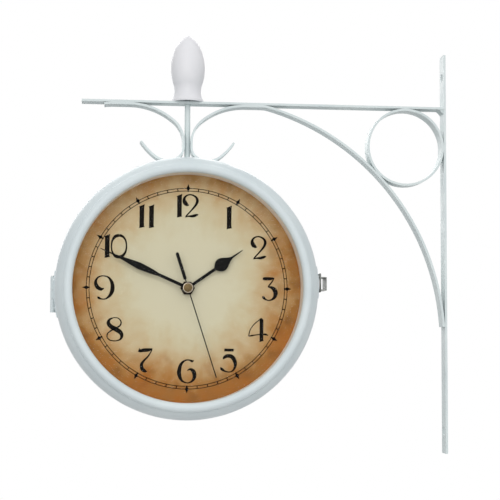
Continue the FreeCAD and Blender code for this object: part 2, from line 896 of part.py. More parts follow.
def add_wheel(body, teeth, module, bore, low, thickness, tooth_angle):
    """A toothed rim on a shaft of the bore's radius, with one tooth at the angle."""
    root_radius = (teeth / 2 - sz.tooth_root_share) * module
    tip_radius = (teeth / 2 + sz.tooth_tip_share) * module
    foot = module * sz.tooth_foot_share
    head = module * sz.tooth_head_share
    base_radius = root(root_radius * root_radius - foot * foot)
    add_ring(body, root_radius, bore, thickness, low)
    sketch = new_sketch(body, "XY_Plane", low)
    corners = []
    for out, aside in ((base_radius, -foot), (tip_radius, -head), (tip_radius, head), (base_radius, foot)):
        across = out * cosine(tooth_angle) - aside * sine(tooth_angle)
        up = out * sine(tooth_angle) + aside * cosine(tooth_angle)
        corners.append((across, up))
    draw_outline(sketch, corners)
    tooth = pad(body, sketch, thickness)
    pattern = body.newObject("PartDesign::PolarPattern", f"{body.Name}_teeth")
    pattern.Originals = [tooth]
    pattern.Axis = (sketch, ["N_Axis"])
    pattern.Angle = 360
    bind(pattern, "Occurrences", teeth)
    body.Tip = pattern
    return pattern


# Hands: an outline of half widths along the hand, a hub, and the bore that sits on the arbor

def hand_outline(stations):
    right = [(width / 2, along) for along, width in stations]
    left = [(-width / 2, along) for along, width in reversed(stations)]
    return right + left


def hand(name, stations, blade_low, hub_radius, hub_low, bore):
    body = new_body(name)
    blade = new_sketch(body, "XY_Plane", blade_low)
    draw_outline(blade, hand_outline(stations))
    pad(body, blade, sz.hand_sheet)
    hub = new_sketch(body, "XY_Plane", hub_low)
    draw_circle(hub, 0, 0, hub_radius)
    pad(body, hub, sz.hub_height)
    hole = new_sketch(body, "XY_Plane", hub_low - sz.overrun)
    draw_circle(hole, 0, 0, bore)
    pocket(body, hole, sz.hub_height + sz.overrun * 2, upward=True)
    return body


def spade_stations():
    """The hour hand swells into a spade like a drop, between its shaft and its needle."""
    length = dial_opening - sz.hour_margin
    spade_start = length * sz.hour_spade_start_share
    needle_start = length * sz.hour_needle_start_share
    stations = [(0, sz.hour_shaft_width), (spade_start, sz.hour_shaft_width)]
    for share, width_share in SPADE_SHARES:
        along = spade_start + (needle_start - spade_start) * share
        stations.append((along, sz.hour_spade_width * width_share))
    stations.append((needle_start, sz.hour_needle_width))
    stations.append((length, sz.needle_tip_width))
    return stations


SPADE_SHARES = (
    (0.05, 0.42),
    (0.13, 0.70),
    (0.24, 0.92),
    (0.36, 1.00),
    (0.48, 0.95),
    (0.60, 0.78),
    (0.73, 0.52),
    (0.86, 0.30),
)
SWELL_SHARES = ((0.35, 0.55), (0.7, 0.85))


def swell_stations():
    """The minute hand swells gently and then tapers to a needle."""
    length = dial_opening - sz.minute_margin
    swell_start = length * sz.minute_swell_start_share
    swell_centre = length * sz.minute_swell_centre_share
    stations = [(0, sz.minute_shaft_width), (swell_start, sz.minute_shaft_width)]
    for share, width_share in SWELL_SHARES:
        along = swell_start + (swell_centre - swell_start) * share
        gain = (sz.minute_swell_width - sz.minute_shaft_width) * width_share
        stations.append((along, sz.minute_shaft_width + gain))
    stations.append((swell_centre, sz.minute_swell_width))
    stations.append((length * sz.minute_needle_start_share, sz.minute_needle_width))
    stations.append((length, sz.needle_tip_width))
    return stations


def seconds_hand(name):
    """A needle with a bar for a counterweight, and a domed cap over the arbor."""
    body = new_body(name)
    blade_low = cap_low + (sz.cap_side - sz.hand_sheet) / 2
    needle = new_sketch(body, "XY_Plane", blade_low)
    draw_outline(needle, hand_outline([
        (-sz.tail_start - sz.tail_width, sz.seconds_width),
        (dial_opening - sz.seconds_margin, sz.seconds_width),
    ]))
    pad(body, needle, sz.hand_sheet)
    tail = new_sketch(body, "XY_Plane", blade_low)
    quarter = sz.tail_width / 2
    draw_outline(tail, [
        (quarter, -sz.tail_start - quarter, quarter, LEFT),
        (0, -sz.tail_start, quarter, LEFT),
        (-quarter, -sz.tail_start - quarter),
        (-quarter, -sz.tail_end + quarter, quarter, LEFT),
        (0, -sz.tail_end, quarter, LEFT),
        (quarter, -sz.tail_end + quarter),
    ])
    pad(body, tail, sz.hand_sheet)
    dome = (sz.cap_radius * sz.cap_radius + sz.cap_dome * sz.cap_dome) / (sz.cap_dome * 2)
    cap = new_sketch(body, "XZ_Plane")
    draw_outline(cap, [
        (0, cap_low),
        (sz.cap_radius, cap_low),
        (sz.cap_radius, cap_low + sz.cap_side, dome, LEFT),
        (0, cap_low + sz.cap_side + sz.cap_dome),
    ])
    turn = body.newObject("PartDesign::Revolution", f"{name}_cap")
    turn.Profile = cap
    turn.ReferenceAxis = (cap, ["V_Axis"])
    hole = new_sketch(body, "XY_Plane", cap_low - sz.overrun)
    draw_circle(hole, 0, 0, sz.seconds_radius)
    pocket(body, hole, sz.cap_side + sz.overrun, upward=True)
    return body


# Everything that one face of the clock carries, the same on both

def build_face(side):
    place = FACES[side]
    seam = -sz.seam_depth if side == "rear" else sz.seam_depth + sz.seam_gap
    owner = "case" if side == "rear" else "door"

    drum = hang(turned(f"{side}_drum", shell_profile(seam, side == "rear")), place)
    openings = rivet_holes(owner)
    if side == "rear":
        low = AXIS_Z + inner_radius - sz.overrun * 2
        openings.append(cylinder("rod_opening", rod_hole, sz.overrun * 4, (AXIS_X, 0, low)))
    keep(f"{side}_shell", cut(f"{side}_shell", drum, group(f"{side}_shell_holes", openings)))

    bezel_inner = flange_radius - sz.bezel_overhang
    bezel_outer = crest_radius - sz.bezel_ledge
    crown_half = (bezel_outer - bezel_inner) / 2
    crown_rise = (bezel_outer - bezel_inner) * sz.bezel_crown_share
    crown = (crown_half * crown_half + crown_rise * crown_rise) / (crown_rise * 2)
    bezel_side = flange_front + sz.bezel_height - crown_rise
    bezel = turned(f"{side}_bezel", [
        (bezel_inner, flange_front),
        (bezel_outer, flange_front),
        (bezel_outer, bezel_side, crown, LEFT),
        (bezel_inner, bezel_side),
    ])
    keep(f"{side}_bezel", hang(bezel, place))

    glass = ringed(f"{side}_glass", crest_radius - sz.glass_margin, None, sz.glass_thickness, glass_back)
    keep(f"{side}_glass", hang(glass, place))

    spacer_outer = crest_radius - sz.spacer_margin
    spacer = turned(f"{side}_spacer_ring", [
        (dial_opening, dial_front),
        (spacer_outer, dial_front),
        (spacer_outer, glass_back),
        (flange_radius + sz.spacer_step, glass_back),
    ])
    keep(f"{side}_spacer_ring", hang(spacer, place))

    dial_hole = sz.bush_radius + sz.dial_hole_fit
    dial = ringed(f"{side}_dial", inner_radius - sz.dial_margin, dial_hole, sz.dial_thickness, dial_back)
    keep(f"{side}_dial", hang(dial, place))

    retainer_low = dial_back - sz.retainer_height
    retainer_inner = inner_radius - sz.retainer_width
    retainer = ringed(
        f"{side}_retaining_ring", inner_radius, retainer_inner, sz.retainer_height, retainer_low
    )
    keep(f"{side}_retaining_ring", hang(retainer, place))
    build_movement(side, place)
    build_hands(side)


def build_movement(side, place):
    half = sz.housing_side / 2
    inside = half - sz.housing_wall
    corner = sz.housing_corner
    bay_length = sz.cell_length + sz.cell_button_height + sz.contact_thickness * 2
    bay_height = (sz.cell_radius + sz.bay_clearance) * 2
    bay_low = sz.bay_wall - half
    bay_high = bay_low + bay_height
    cell_up = bay_low + bay_height / 2
    cell_depth = housing_floor - sz.cell_radius
    works_low = bay_high + sz.bay_wall

    housing = padded(
        f"{side}_movement_housing",
        "XY_Plane",
        [
            (corner - half, -half),
            (half - corner, -half, corner, LEFT),
            (half, corner - half),
            (half, half - corner, corner, LEFT),
            (half - corner, half),
            (corner - half, half, corner, LEFT),
            (-half, half - corner),
            (-half, corner - half, corner, LEFT),
        ],
        sz.housing_height,
        housing_back,
        [(0, 0, sz.bush_radius)],
    )
    depth = housing_floor - housing_back
    for corners in (
        rectangle(-inside, inside, works_low, inside),
        rectangle(-bay_length / 2, bay_length / 2, bay_low, bay_high),
    ):
        sketch = new_sketch(housing, "XY_Plane", housing_back - sz.overrun)
        draw_outline(sketch, corners)
        pocket(housing, sketch, depth + sz.overrun, upward=True)
    keep(f"{side}_movement_housing", hang(housing, place))

    spindle_hole = sz.setting_spindle_radius + sz.setting_spindle_fit
    cover = padded(
        f"{side}_movement_cover",
        "XY_Plane",
        rectangle(-half, half, bay_high, half),
        sz.cover_thickness,
        cover_back,
        [(0, sz.setting_distance, spindle_hole)],
    )
    add_ring(cover, sz.boss_radius, sz.seconds_radius + sz.arbor_gap, sz.boss_height, housing_back)
    keep(f"{side}_movement_cover", hang(cover, place))

    cell = new_body(f"{side}_battery")
    cell_start = -bay_length / 2 + sz.contact_thickness
    for radius, start, length in (
        (sz.cell_radius, cell_start, sz.cell_length),
        (sz.cell_button_radius, cell_start + sz.cell_length, sz.cell_button_height),
    ):
        sketch = new_sketch(cell, "YZ_Plane", start)
        draw_circle(sketch, cell_up, cell_depth, radius)
        pad(cell, sketch, length)
    keep(f"{side}_battery", hang(cell, place))

    contacts = []
    contact_low = cell_depth - sz.contact_height / 2
    contact_left = cell_up - sz.contact_width / 2
    for start in (-bay_length / 2, bay_length / 2 - sz.contact_thickness):
        contact = padded(
            f"{side}_contact",
            "YZ_Plane",
            rectangle(
                contact_left, contact_left + sz.contact_width, contact_low, contact_low + sz.contact_height
            ),
            sz.contact_thickness,
            start,
        )
        contacts.append(hang(contact, place))
    keep(f"{side}_battery_contacts", group(f"{side}_battery_contacts", contacts))

    bush = turned(f"{side}_center_bush", [
        (sz.bush_bore_radius, housing_floor - sz.bush_flange_height),
        (sz.bush_flange_radius, housing_floor - sz.bush_flange_height),
        (sz.bush_flange_radius, housing_floor),
        (sz.bush_radius, housing_floor),
        (sz.bush_radius, bush_top),
        (sz.bush_bore_radius, bush_top),
    ])
    keep(f"{side}_center_bush", hang(bush, place))

    rubber = ringed(
        f"{side}_bush_washer", sz.rubber_radius, sz.bush_radius, sz.rubber_thickness, housing_front
    )
    keep(f"{side}_bush_washer", hang(rubber, place))

    nut = padded(
        f"{side}_bush_nut",
        "XY_Plane",
        hexagon(sz.bush_nut_across),
        sz.bush_nut_height,
        dial_front,
        [(0, 0, sz.bush_radius)],
    )
    keep(f"{side}_bush_nut", hang(nut, place))


def build_hands(side):
    hour_place = turned_face(side, sz.hour_angle.value)
    minute_place = turned_face(side, sz.minute_angle.value)
    seconds_place = turned_face(side, sz.seconds_angle.value)
    place = FACES[side]
    hour_blade = hour_hub_low + (sz.hub_height - sz.hand_sheet) / 2
    minute_blade = minute_hub_low + (sz.hub_height - sz.hand_sheet) / 2

    hour = hand(
        f"{side}_hour_hand", spade_stations(), hour_blade, sz.hour_hub_radius, hour_hub_low, pipe_radius
    )
    keep(f"{side}_hour_hand", hang(hour, hour_place))
    minute = hand(
        f"{side}_minute_hand", swell_stations(), minute_blade, sz.minute_hub_radius, minute_hub_low,
        minute_radius,
    )
    keep(f"{side}_minute_hand", hang(minute, minute_place))
    keep(f"{side}_second_hand", hang(seconds_hand(f"{side}_second_hand"), seconds_place))

    # A tooth of each pinion points along the line between the arbors, into a gap of its wheel
    pipe = ringed(f"{side}_hour_pipe", pipe_radius, pipe_bore, pipe_top - pipe_low, pipe_low)
    hour_gap = 90 + 180 / sz.hour_wheel_teeth
    add_wheel(
        pipe, sz.hour_wheel_teeth, hour_module, pipe_bore, hour_wheel_low, sz.wheel_thickness, hour_gap
    )
    keep(f"{side}_hour_pipe", hang(pipe, place))

    arbor = ringed(f"{side}_minute_arbor", minute_radius, minute_bore, minute_top - minute_low, minute_low)
    add_wheel(
        arbor, sz.minute_pinion_teeth, minute_module, minute_bore, pinion_low, sz.pinion_height, as_size(90)
    )
    keep(f"{side}_minute_arbor", hang(arbor, place))

    seconds_low = housing_back + sz.arbor_gap
    seconds_top = cap_low + sz.cap_side
    seconds = ringed(f"{side}_second_arbor", sz.seconds_radius, None, seconds_top - seconds_low, seconds_low)
    keep(f"{side}_second_arbor", hang(seconds, place))

    knob_top = cover_back - sz.setting_spindle_fit
    knob_low = knob_top - sz.setting_knob_height
    knob = ringed(f"{side}_setting_knob", sz.setting_spindle_radius, None, setting_top - knob_low, knob_low)
    add_ring(knob, sz.setting_knob_radius, None, sz.setting_knob_height, knob_low)
    dish = new_sketch(knob, "XY_Plane", knob_low - sz.overrun)
    draw_circle(dish, 0, 0, sz.setting_knob_radius - sz.setting_knob_dish)
    pocket(knob, dish, sz.setting_knob_dish + sz.overrun, upward=True)
    wheel_gap_angle = -90 + 180 / sz.setting_wheel_teeth
    add_wheel(
        knob, sz.setting_wheel_teeth, minute_module, None, setting_wheel_low, sz.wheel_thickness,
        wheel_gap_angle,
    )
    add_wheel(
        knob, sz.setting_pinion_teeth, hour_module, None, setting_pinion_low, sz.pinion_height, as_size(-90)
    )
    hang(knob, place, sz.setting_distance)
    keep(f"{side}_setting_knob", knob)


build_face("rear")
build_face("front")

# Hinge: curved leaves on the two shells, three knuckles and a pin
barrel_x = AXIS_X - sz.case_radius - sz.barrel_gap - sz.barrel_radius
barrel_middle = AXIS_Z - sz.hinge_lowering
half_middle = sz.hinge_middle / 2
half_hinge = sz.hinge_length / 2
web_reach = sz.barrel_radius * 3
KNUCKLES = {
    "case": [
        (barrel_middle - half_hinge, half_hinge - half_middle - sz.knuckle_gap),
        (barrel_middle + half_middle + sz.knuckle_gap, half_hinge - half_middle - sz.knuckle_gap),
    ],
    "door": [(barrel_middle - half_middle, sz.hinge_middle)],
}
case_drum = cylinder("case_drum", sz.case_radius, flange_front * 2, (AXIS_X, flange_front, AXIS_Z), FRONT)


def curved_plate(name, start, width, length, angle):
    """A plate bent round the case, from a depth of the room backwards."""
    plate = turned(name, [
        (sz.case_radius, -start - width),
        (plate_radius, -start - width),
        (plate_radius, -start),
        (sz.case_radius, -start),
    ], arc_angle(length, sz.case_radius))
    return hang(plate, FRONT * Rotation(Vector(0, 0, 1), angle.value))


def hinge_leaf(owner, partner, start, web_start):
    pieces = [curved_plate(f"hinge_plate_{owner}", start, sz.leaf_width, sz.leaf_length, hinge_angle)]
    bores = []
    for low, length in KNUCKLES[owner]:
        pieces.append(cylinder(f"{owner}_knuckle", sz.barrel_radius, length, (barrel_x, seam_y, low)))
        web_sides = (web_reach, sz.barrel_radius, length)
        pieces.append(block(f"{owner}_web", (barrel_x, web_start, low), web_sides))
        start_low = low - sz.overrun
        bore_radius = sz.hinge_pin_radius + (sz.hinge_pin_fit if owner == "door" else 0)
        bores.append(cylinder(
            f"{owner}_bore", bore_radius, length + sz.overrun * 2, (barrel_x, seam_y, start_low)
        ))
    room = sz.barrel_radius + sz.knuckle_gap
    for low, length in KNUCKLES[partner]:
        notch_sides = (web_reach, room * 2, length + sz.knuckle_gap * 2)
        notch_corner = (barrel_x, seam_y - room, low - sz.knuckle_gap)
        bores.append(block(f"{owner}_notch", notch_corner, notch_sides))
    outside = cut(f"hinge_outside_{owner}", fuse(f"hinge_shape_{owner}", pieces), case_drum)
    tools = group(f"hinge_cuts_{owner}", bores + rivet_holes(owner))
    return keep(f"hinge_leaf_{owner}", cut(f"hinge_leaf_{owner}", outside, tools))


hinge_leaf("case", "door", seam_y, seam_y)
hinge_leaf("door", "case", seam_y - sz.seam_gap - sz.leaf_width, seam_y - sz.seam_gap - sz.barrel_radius)
pin_low = barrel_middle - half_hinge
hinge_pin = fuse("hinge_pin", [
    cylinder("hinge_pin_shaft", sz.hinge_pin_radius, sz.hinge_length, (barrel_x, seam_y, pin_low)),
    cylinder(
        "hinge_pin_head", sz.hinge_pin_head_radius, sz.hinge_pin_head,
        (barrel_x, seam_y, pin_low + sz.hinge_length),
    ),
])
keep("hinge_pin", hinge_pin)
rivets("case")
rivets("door")

# Clasp: base and ears on the fixed shell, lever on a pin, wire bail, and a ridged keeper on the door
clasp_z = AXIS_Z + sz.clasp_height
bail_x = AXIS_X + plate_radius + sz.ridge_radius + sz.clasp_gap + sz.bail_wire_radius
pivot_x = bail_x - sz.clasp_over_centre
pivot_y = seam_y + sz.clasp_pivot_depth
half_ears = sz.ear_spread / 2
base_pieces = [curved_plate(
    "clasp_plate", seam_y + sz.clasp_plate_inset, sz.clasp_plate_width, sz.clasp_plate_length, clasp_angle
)]
ear_root = AXIS_X + inner_radius
for low in (clasp_z - half_ears, clasp_z + half_ears - sz.ear_thickness):
    base_pieces.append(cylinder("clasp_ear", sz.ear_radius, sz.ear_thickness, (pivot_x, pivot_y, low)))
    base_pieces.append(block(
        "clasp_ear_foot",
        (ear_root, pivot_y - sz.ear_radius, low),
        (pivot_x - ear_root, sz.ear_radius * 2, sz.ear_thickness),
    ))
base_tools = rivet_holes("case") + [case_drum, cylinder(
    "clasp_ear_bore", sz.clasp_pin_radius, sz.ear_spread + sz.overrun * 2,
    (pivot_x, pivot_y, clasp_z - half_ears - sz.overrun),
)]
keep("clasp_base", cut(
    "clasp_base", fuse("clasp_base_shape", base_pieces), fuse("clasp_base_cuts", base_tools)
))

# Lever, a channel drawn from its pivot: across is outward from the case, up is towards the rear
lever = new_body("clasp_lever")
boss = sz.lever_boss_radius
lever_sketch = new_sketch(lever, "XY_Plane")
draw_outline(lever_sketch, [
    (-boss, 0, boss, LEFT),
    (0, -boss, boss, LEFT),
    (boss, 0),
    (sz.lever_height, sz.lever_front),
    (sz.lever_height, sz.lever_length),
    (sz.lever_height - sz.lever_tip_height, sz.lever_length),
    (-boss, sz.lever_heel),
])
pad(lever, lever_sketch, sz.lever_width, symmetric=True)
channel_sketch = new_sketch(lever, "XY_Plane")
draw_outline(channel_sketch, rectangle(
    -boss - sz.overrun,
    sz.lever_height - sz.lever_sheet,
    -boss - sz.overrun,
    sz.lever_length + sz.overrun,
))
channel = pocket(lever, channel_sketch, sz.lever_width - sz.lever_sheet * 2)
channel.SideType = "Symmetric"
lever_holes = new_sketch(lever, "XY_Plane")
draw_circle(lever_holes, 0, 0, sz.clasp_pin_radius + sz.clasp_pin_fit)
draw_circle(lever_holes, sz.clasp_over_centre, sz.bail_arm, sz.bail_wire_radius + sz.bail_fit)
bores = pocket(lever, lever_holes, sz.lever_width + sz.overrun * 2)
bores.SideType = "Symmetric"
for prop, size in zip("xyz", (pivot_x, pivot_y, clasp_z)):
    bind(lever, f"Placement.Base.{prop}", size)
keep("clasp_lever", lever)

# Pin through the ears and the lever, headed at both ends
shaft_half = sz.lever_width / 2 + sz.clasp_pin_fit
pin_start = clasp_z - shaft_half
pin_pieces = [cylinder("clasp_pin_shaft", sz.clasp_pin_radius, shaft_half * 2, (pivot_x, pivot_y, pin_start))]
for low in (pin_start - sz.clasp_pin_head, pin_start + shaft_half * 2):
    pin_pieces.append(cylinder(
        "clasp_pin_cap", sz.clasp_pin_head_radius, sz.clasp_pin_head, (pivot_x, pivot_y, low)
    ))
keep("clasp_pin", fuse("clasp_pin", pin_pieces))

# Bail: a wire loop from the lever round the keeper's ridge
wire = sz.bail_wire_radius
bail_back = pivot_y + sz.bail_arm
bail_front = seam_y - sz.ridge_depth - sz.ridge_radius - sz.clasp_gap - wire
half_bail = sz.bail_spread / 2
stub_reach = half_bail - sz.lever_width / 2 + sz.lever_sheet + sz.bail_stub
bail_pieces = [cylinder("bail_bar", wire, sz.bail_spread, (bail_x, bail_front, clasp_z - half_bail))]
for side, stub_low in ((-1, clasp_z - half_bail), (1, clasp_z + half_bail - stub_reach)):
    height = clasp_z + half_bail * side
    bail_pieces.append(cylinder("bail_arm", wire, bail_back - bail_front, (bail_x, bail_back, height), FRONT))
    bail_pieces.append(cylinder("bail_end", wire, stub_reach, (bail_x, bail_back, stub_low)))
    bail_pieces.append(ball("bail_front_bend", wire, (bail_x, bail_front, height)))
    bail_pieces.append(ball("bail_back_bend", wire, (bail_x, bail_back, height)))
keep("clasp_bail", fuse("clasp_bail", bail_pieces))

# Keeper on the door, with its ridge
keeper_start = seam_y - sz.keeper_inset - sz.keeper_width
ridge_low = clasp_z - sz.ridge_length / 2
keeper_shape = fuse("clasp_keeper_shape", [
    curved_plate("keeper_plate", keeper_start, sz.keeper_width, sz.clasp_plate_length, clasp_angle),
    cylinder(
        "keeper_ridge", sz.ridge_radius, sz.ridge_length,
        (AXIS_X + plate_radius, seam_y - sz.ridge_depth, ridge_low),
    ),
])
keeper_tools = fuse("clasp_keeper_cuts", rivet_holes("door") + [case_drum])
keep("clasp_keeper", cut("clasp_keeper", keeper_shape, keeper_tools))

# Every piece is checked before it is written
doc.recompute()
faults = [item.Name for item in doc.Objects if "Invalid" in item.State or "Error" in item.State]
if faults:
    raise RuntimeError(f"features that did not build: {faults}")
os.makedirs("parts", exist_ok=True)
for name, item in nodes.items():
    if item.Shape.isNull() or not item.Shape.isValid():
        raise RuntimeError(f"no sound shape: {name}")
    item.Shape.exportStep(os.path.join("parts", f"{name}.step"))
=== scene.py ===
import json
import math

import bmesh
import bpy
from mathutils import Matrix, Vector


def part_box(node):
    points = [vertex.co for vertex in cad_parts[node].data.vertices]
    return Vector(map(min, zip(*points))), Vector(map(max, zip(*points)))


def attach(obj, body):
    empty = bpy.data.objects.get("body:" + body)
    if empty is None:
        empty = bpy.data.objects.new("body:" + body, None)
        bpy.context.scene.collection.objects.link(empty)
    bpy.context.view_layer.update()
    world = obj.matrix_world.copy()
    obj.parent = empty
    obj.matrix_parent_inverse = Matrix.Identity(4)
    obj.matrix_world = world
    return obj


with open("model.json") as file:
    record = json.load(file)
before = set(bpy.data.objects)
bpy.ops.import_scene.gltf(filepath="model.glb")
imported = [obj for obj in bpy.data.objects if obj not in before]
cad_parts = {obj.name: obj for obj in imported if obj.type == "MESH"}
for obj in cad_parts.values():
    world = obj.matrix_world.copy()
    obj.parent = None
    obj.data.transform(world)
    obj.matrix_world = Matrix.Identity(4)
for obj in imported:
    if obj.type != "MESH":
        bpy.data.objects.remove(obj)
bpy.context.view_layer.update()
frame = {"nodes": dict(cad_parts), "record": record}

# Double-sided wall clock. The solids carry the shapes; this script gives them their paint, prints the two
# dials, and sets up the light and the camera. Metres, in the frame of the solids.

MM = 0.001

# The clock's axis, from the arbor of the front seconds hand, and the front surface of each dial
ARBOR_LOW, ARBOR_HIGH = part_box("front_second_arbor")
AXIS = Vector(((ARBOR_LOW.x + ARBOR_HIGH.x) / 2, 0.0, (ARBOR_LOW.z + ARBOR_HIGH.z) / 2))
DIAL_DEPTH = -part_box("front_dial")[0].y
DIAL_RADIUS = 99.2 * MM
PRINT_LIFT = 0.06 * MM

# Dial print: the minute track, the hour marks and the numerals
TRACK_RADII = (84.8 * MM, 87.2 * MM)
TRACK_LINE = 0.62 * MM
TICK_LINE = 0.85 * MM
MARK_ROOT = 0.6 * MM
MARK_TIP = 3.9 * MM
MARK_HALF_WIDTH = 1.75 * MM
MARK_FOOT_SHARE = 0.36
MARK_SHOULDER_SHARE = 0.5
NUMERAL_RADIUS = 71.9 * MM
NUMERAL_HEIGHT = 20.9 * MM
RING_STEPS = 360
STROKE_STEPS = 10
STROKE_WEIGHT_SHARE = 1.18

# Camera, fitted to the photograph: angles in degrees, and the sensor's width in millimetres
CAMERA_PLACE = AXIS + Vector((-0.0604, -1.1394, -0.0531))
CAMERA_YAW = -6.087
CAMERA_PITCH = 4.0
CAMERA_ROLL = -0.215
PICTURE_SIDE = 500
FOCAL_PIXELS = 1289.2
CENTRE_SHIFT_PIXELS = (5.0, 9.6)
SENSOR = 36.0

# Light: the room's strength from below and from above, and each lamp's place, power and side
WHITE = (1.0, 1.0, 1.0, 1.0)
ROOM_LIGHT = (0.12, 0.88)
LAMPS = {
    "key": ((-0.6, -2.0, 0.5), 21.0, 1.8),
    "fill": ((0.9, -1.6, 0.1), 4.0, 1.2),
    "back": ((-0.4, 1.7, 0.9), 20.0, 1.6),
}

# The clock hangs on a wall, so the floor is well below it
FLOOR_HALF_SIDE = 1.0
FLOOR_LEVEL = -1.6

# Heights of the fine relief in the finishes
PEEL_HEIGHT = 0.06 * MM
GRAIN_HEIGHT = 0.05 * MM
MOULDING_HEIGHT = 0.06 * MM
FIBRE_HEIGHT = 0.05 * MM
CAP_GRAIN_HEIGHT = 0.04 * MM

# How much smoother and duller than its own roughness a finish gets in places
PAINT_WEAR = (-0.07, 0.09)
METAL_WEAR = (-0.08, 0.12)
DUST_WEAR = (0.0, 0.15)

# Tones of the dial, in shares of its radius: how far ageing clouds and mottles shift them, how far they are
# tilted, lighter at the top as painted light against the bezel's shade and darker at the bottom, and where
# the rim's stains begin
CLOUD_SHIFT_SHARE = 0.12
MOTTLE_SHIFT_SHARE = 0.05
PAINTED_LIGHT_TILT_SHARES = (0.03, 0.0, -0.14)
RIM_START_SHARE = 0.72
BOTTOM_START_SHARE = 0.55
# Where in the noise the damp stains are taken from, and how deep the printed face goes in millimetres
STAIN_SHIFT = (3.7, 0.0, 1.9)
DIAL_FACE = 0.2

# Where the cap's bronze middle and the painted highlight ring around it end, in millimetres from the axis
CAP_BRONZE_EDGE = (3.75, 3.85)
CAP_HIGHLIGHT_EDGE = (4.3, 4.4)


def srgb(red, green, blue):
    """A screen colour, 0 to 255, as the linear colour that shaders use."""
    channels = []
    for value in (red, green, blue):
        share = value / 255
        channels.append(share / 12.92 if share <= 0.04045 else ((share + 0.055) / 1.055) ** 2.4)
    return (*channels, 1.0)


# Material helpers

class Shade:
    """A material under construction, with its Principled shader."""

    def __init__(self, name):
        self.material = bpy.data.materials.new(name)
        self.material.use_nodes = True
        self.nodes = self.material.node_tree.nodes
        self.links = self.material.node_tree.links
        self.shader = self.nodes["Principled BSDF"]
        self.place = self.nodes.new("ShaderNodeTexCoord").outputs["Object"]

    def put(self, **values):
        """Set constants on the shader, with _ for the spaces in their names."""
        for name, value in values.items():
            self.shader.inputs[name.replace("_", " ")].default_value = value

    def link(self, socket, name):
        self.links.new(socket, self.shader.inputs[name])

    def noise(self, scale, detail=3.0, roughness=0.55, place=None):
        node = self.nodes.new("ShaderNodeTexNoise")
        node.inputs["Scale"].default_value = scale
        node.inputs["Detail"].default_value = detail
        node.inputs["Roughness"].default_value = roughness
        self.links.new(place or self.place, node.inputs["Vector"])
        return node.outputs["Fac"]

    def ramp(self, fac, stops):
        node = self.nodes.new("ShaderNodeValToRGB")
        elements = node.color_ramp.elements
        while len(elements) < len(stops):
            elements.new(0.5)
        for element, (position, colour) in zip(elements, stops):
            element.position = position
            element.color = colour
        self.links.new(fac, node.inputs["Fac"])
        return node.outputs["Color"]

    def spread(self, fac, low, high, from_low=0.3, from_high=0.7):
        """Map a value from one span to another, cut off at the ends."""
        node = self.nodes.new("ShaderNodeMapRange")
        node.inputs["From Min"].default_value = from_low
        node.inputs["From Max"].default_value = from_high
        node.inputs["To Min"].default_value = low
        node.inputs["To Max"].default_value = high
        self.links.new(fac, node.inputs["Value"])
        return node.outputs["Result"]

    def maths(self, operation, *values):
        """An operation on one or two linked values."""
        node = self.nodes.new("ShaderNodeMath")
        node.operation = operation
        for socket, value in zip(node.inputs, values):
            self.links.new(value, socket)
        return node.outputs["Value"]

    def vector(self, operation, first, second=None):
        node = self.nodes.new("ShaderNodeVectorMath")
        node.operation = operation
        self.links.new(first, node.inputs[0])
        if second is not None:
            node.inputs[1].default_value = second
        return node.outputs["Value"] if operation in ("LENGTH", "DOT_PRODUCT") else node.outputs["Vector"]

    def blend(self, fac, first, second):
        """Mix two colours, the second of which may be a constant."""
        node = self.nodes.new("ShaderNodeMix")
        node.data_type = "RGBA"
        self.links.new(fac, node.inputs["Factor"])
        colour_inputs = [item for item in node.inputs if item.type == "RGBA"]
        for socket, colour in zip(colour_inputs, (first, second)):
            if isinstance(colour, tuple):
                socket.default_value = colour
            else:
                self.links.new(colour, socket)
        return next(item for item in node.outputs if item.type == "RGBA")

    def bump(self, height, strength, distance):
        node = self.nodes.new("ShaderNodeBump")
        node.inputs["Strength"].default_value = strength
        node.inputs["Distance"].default_value = distance
        self.links.new(height, node.inputs["Height"])
        self.links.new(node.outputs["Normal"], self.shader.inputs["Normal"])

    def from_axis(self, unit):
        """Where a point lies from the clock's axis, in the plane of the dial, in the given unit."""
        node = self.nodes.new("ShaderNodeMapping")
        node.inputs["Location"].default_value = (-AXIS.x / unit, 0, -AXIS.z / unit)
        node.inputs["Scale"].default_value = (1 / unit, 0, 1 / unit)
        self.links.new(self.place, node.inputs["Vector"])
        return node.outputs["Vector"]


def painted(name, colour, shadow, roughness, peel):
    """Sprayed paint: a slow drift of tone, fine orange peel, and patches that are rubbed smoother."""
    shade = Shade(name)
    drift = shade.noise(22.0, detail=4.0)
    shade.link(shade.ramp(drift, [(0.32, shadow), (0.62, colour)]), "Base Color")
    rubbed = shade.noise(60.0, detail=5.0)
    shade.link(shade.spread(rubbed, *[roughness + wear for wear in PAINT_WEAR]), "Roughness")
    shade.put(Specular_IOR_Level=0.3)
    shade.bump(shade.noise(peel, detail=2.0), strength=0.08, distance=PEEL_HEIGHT)
    return shade.material


def metal(name, colour, shadow, roughness, grain):
    """Bare metal with a fine turned or drawn grain and slight stains."""
    shade = Shade(name)
    stain = shade.noise(140.0, detail=4.0)
    shade.link(shade.ramp(stain, [(0.3, shadow), (0.65, colour)]), "Base Color")
    fine = shade.noise(grain, detail=2.0)
    shade.link(shade.spread(fine, *[roughness + wear for wear in METAL_WEAR]), "Roughness")
    shade.put(Metallic=1.0)
    shade.bump(fine, strength=0.15, distance=GRAIN_HEIGHT)
    return shade.material


def moulded(name, colour, shadow, roughness, texture):
    """Moulded plastic or rubber with a fine texture and some dust."""
    shade = Shade(name)
    dust = shade.noise(180.0, detail=5.0)
    shade.link(shade.ramp(dust, [(0.35, colour), (0.75, shadow)]), "Base Color")
    shade.link(shade.spread(dust, *[roughness + wear for wear in DUST_WEAR]), "Roughness")
    shade.bump(shade.noise(texture, detail=2.0), strength=0.25, distance=MOULDING_HEIGHT)
    return shade.material


